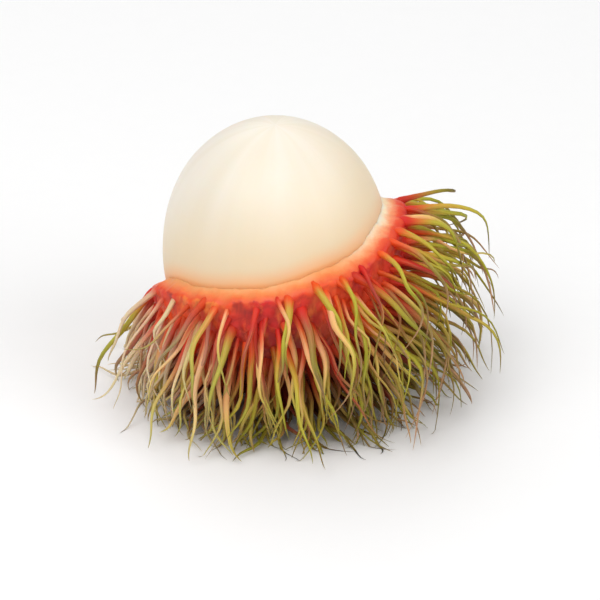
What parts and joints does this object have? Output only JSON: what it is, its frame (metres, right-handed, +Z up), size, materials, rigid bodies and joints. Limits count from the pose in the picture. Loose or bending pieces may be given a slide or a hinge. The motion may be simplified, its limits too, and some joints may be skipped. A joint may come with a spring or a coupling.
{
  "type": "half-peeled rambutan fruit",
  "caption": "Tropical fruit with the upper rind peeled off: an egg-shaped white flesh seated in an open spiny rind cup that rests on a flat spot.",
  "frame": {"origin": "middle of the small flat spot on the rind's underside, on the surface that the fruit rests on", "axes": "+Z up along the fruit's own axis; the torn edge is highest on the +X side, and -Y is the side towards the viewer in the usual view"},
  "size_m": [0.0608, 0.0614, 0.0404],
  "materials": {
    "flesh": "moist, satin, translucent cream-white fruit flesh",
    "rind": "matt waxy red to orange skin, its soft spines turning yellow-green"
  },
  "bodies": {
    "root": {"aril": "flesh", "rind": "rind"}
  },
  "joints": []
}
